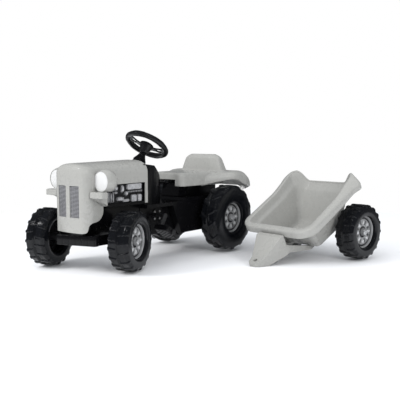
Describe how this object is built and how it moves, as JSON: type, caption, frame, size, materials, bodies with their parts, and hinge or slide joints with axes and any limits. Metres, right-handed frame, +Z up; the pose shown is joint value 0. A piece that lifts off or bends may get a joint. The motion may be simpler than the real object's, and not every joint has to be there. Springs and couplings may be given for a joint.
{
  "type": "pedal tractor with trailer",
  "caption": "Child's ride-on pedal tractor with a steered front axle, chain-driven rear axle, seat with fenders, and a tipping trailer parked beside it.",
  "frame": {"origin": "middle of the floor area that the whole set covers, on the floor", "axes": "+Z up; the tractor faces -Y and its driver's left is +X; the trailer stands on the +X side, turned 9.9 degrees"},
  "size_m": [0.9804, 1.1275, 0.5093],
  "materials": {
    "grey_plastic": "moulded warm light grey plastic, half gloss",
    "lens_white": "white opal lamp lens",
    "grille_grey": "fine ribbed mid grey plastic",
    "engine_grey": "silver grey relief of an engine",
    "black_plastic": "moulded black plastic",
    "tyre_black": "blow-moulded hard black plastic tyre",
    "rim_silver": "silver grey plastic",
    "steel": "zinc plated steel"
  },
  "bodies": {
    "tractor_body": {"chassis": "black_plastic", "bonnet": "grey_plastic", "grille": "grille_grey", "engine_left": "engine_grey", "engine_right": "engine_grey", "lamp_bracket_left": "grey_plastic", "lamp_bracket_right": "grey_plastic", "lamp_housing_left": "grey_plastic", "lamp_housing_right": "grey_plastic", "lamp_lens_left": "lens_white", "lamp_lens_right": "lens_white", "dashboard": "black_plastic", "column_boot": "black_plastic", "column_bushes": "black_plastic", "hand_lever": "black_plastic", "seat": "grey_plastic", "seat_pillar": "black_plastic", "seat_latch": "black_plastic", "kingpin": "steel", "thrust_washer": "black_plastic", "crank_bushes": "black_plastic", "bearing_bolts": "steel", "rear_axle_bushes": "black_plastic", "drive_chain": "steel", "tow_hitch": "black_plastic"},
    "steering_set": {"steering_wheel": "black_plastic", "steering_hub_cap": "black_plastic", "steering_column": "steel"},
    "front_axle_set": {"front_yoke": "black_plastic", "front_axle_rod": "steel", "front_left_cap": "rim_silver", "front_right_cap": "rim_silver"},
    "front_left_wheel": {"front_left_tyre": "tyre_black", "front_left_rim": "rim_silver"},
    "front_right_wheel": {"front_right_tyre": "tyre_black", "front_right_rim": "rim_silver"},
    "crank_set": {"crank": "steel", "chainring": "steel", "pedal_caps": "steel"},
    "left_pedal": {"pedal_left": "black_plastic"},
    "right_pedal": {"pedal_right": "black_plastic"},
    "rear_axle_set": {"rear_axle_rod": "steel", "rear_sprocket": "steel", "rear_left_tyre": "tyre_black", "rear_left_rim": "rim_silver", "rear_left_cap": "rim_silver", "rear_right_cap": "rim_silver"},
    "rear_right_wheel": {"rear_right_tyre": "tyre_black", "rear_right_rim": "rim_silver"},
    "hitch_pin": {"tow_pin": "steel"},
    "drawbar_set": {"drawbar": "grey_plastic", "trailer_axle_rod": "steel", "trailer_left_cap": "rim_silver", "trailer_right_cap": "rim_silver"},
    "tub_set": {"trailer_tub": "grey_plastic"},
    "trailer_left_wheel": {"trailer_left_tyre": "tyre_black", "trailer_left_rim": "rim_silver"},
    "trailer_right_wheel": {"trailer_right_tyre": "tyre_black", "trailer_right_rim": "rim_silver"}
  },
  "joints": [
    {"name": "axle_swivel", "type": "hinge", "parent": "tractor_body", "child": "front_axle_set", "pos_m": [-0.2622, -0.39499, 0.112], "axis": [0, 0, 1], "range_deg": [-40.4, 3.6]},
    {"name": "steering_turn", "type": "hinge", "parent": "tractor_body", "child": "steering_set", "pos_m": [-0.2622, -0.08499, 0.452], "axis": [0, 0.5693, 0.8221], "range_deg": [-98.64, 8.88]},
    {"name": "front_left_spin", "type": "hinge", "parent": "front_axle_set", "child": "front_left_wheel", "pos_m": [-0.10374, -0.34227, 0.112], "axis": [0.9489, 0.3156, 0], "continuous": true},
    {"name": "front_right_spin", "type": "hinge", "parent": "front_axle_set", "child": "front_right_wheel", "pos_m": [-0.42066, -0.4477, 0.112], "axis": [0.9489, 0.3156, 0], "continuous": true},
    {"name": "rear_axle_spin", "type": "hinge", "parent": "tractor_body", "child": "rear_axle_set", "pos_m": [-0.2622, 0.22501, 0.144], "axis": [1, 0, 0], "continuous": true},
    {"name": "crank_spin", "type": "hinge", "parent": "tractor_body", "child": "crank_set", "pos_m": [-0.2622, -0.09499, 0.175], "axis": [1, 0, 0], "continuous": true},
    {"name": "left_pedal_spin", "type": "hinge", "parent": "crank_set", "child": "left_pedal", "pos_m": [-0.1342, -0.12943, 0.11988], "axis": [1, 0, 0], "continuous": true},
    {"name": "right_pedal_spin", "type": "hinge", "parent": "crank_set", "child": "right_pedal", "pos_m": [-0.3902, -0.06054, 0.23012], "axis": [1, 0, 0], "continuous": true},
    {"name": "rear_right_spin", "type": "hinge", "parent": "tractor_body", "child": "rear_right_wheel", "pos_m": [-0.4322, 0.22501, 0.144], "axis": [1, 0, 0], "continuous": true},
    {"name": "hitch_pin_lift", "type": "slide", "parent": "tractor_body", "child": "hitch_pin", "axis": [0, 0, 1], "range_m": [0, 0.042]},
    {"name": "drawbar_pitch", "type": "hinge", "parent": "tractor_body", "child": "drawbar_set", "pos_m": [0.2603, 0.41801, 0.112], "axis": [-0.9851, 0.1719, 0], "range_deg": [0, 27]},
    {"name": "tub_tip", "type": "hinge", "parent": "drawbar_set", "child": "tub_set", "pos_m": [0.2603, 0.41801, 0.112], "axis": [-0.9851, 0.1719, 0], "range_deg": [0, 45]},
    {"name": "trailer_left_spin", "type": "hinge", "parent": "drawbar_set", "child": "trailer_left_wheel", "pos_m": [0.43269, 0.38792, 0.112], "axis": [0.9851, -0.1719, 0], "continuous": true},
    {"name": "trailer_right_spin", "type": "hinge", "parent": "drawbar_set", "child": "trailer_right_wheel", "pos_m": [0.0879, 0.4481, 0.112], "axis": [0.9851, -0.1719, 0], "continuous": true}
  ],
  "couplings": [
    {"joint": "steering_turn", "follows": "axle_swivel", "ratio": 2.439},
    {"joint": "crank_spin", "follows": "rear_axle_spin", "ratio": 0.75}
  ]
}
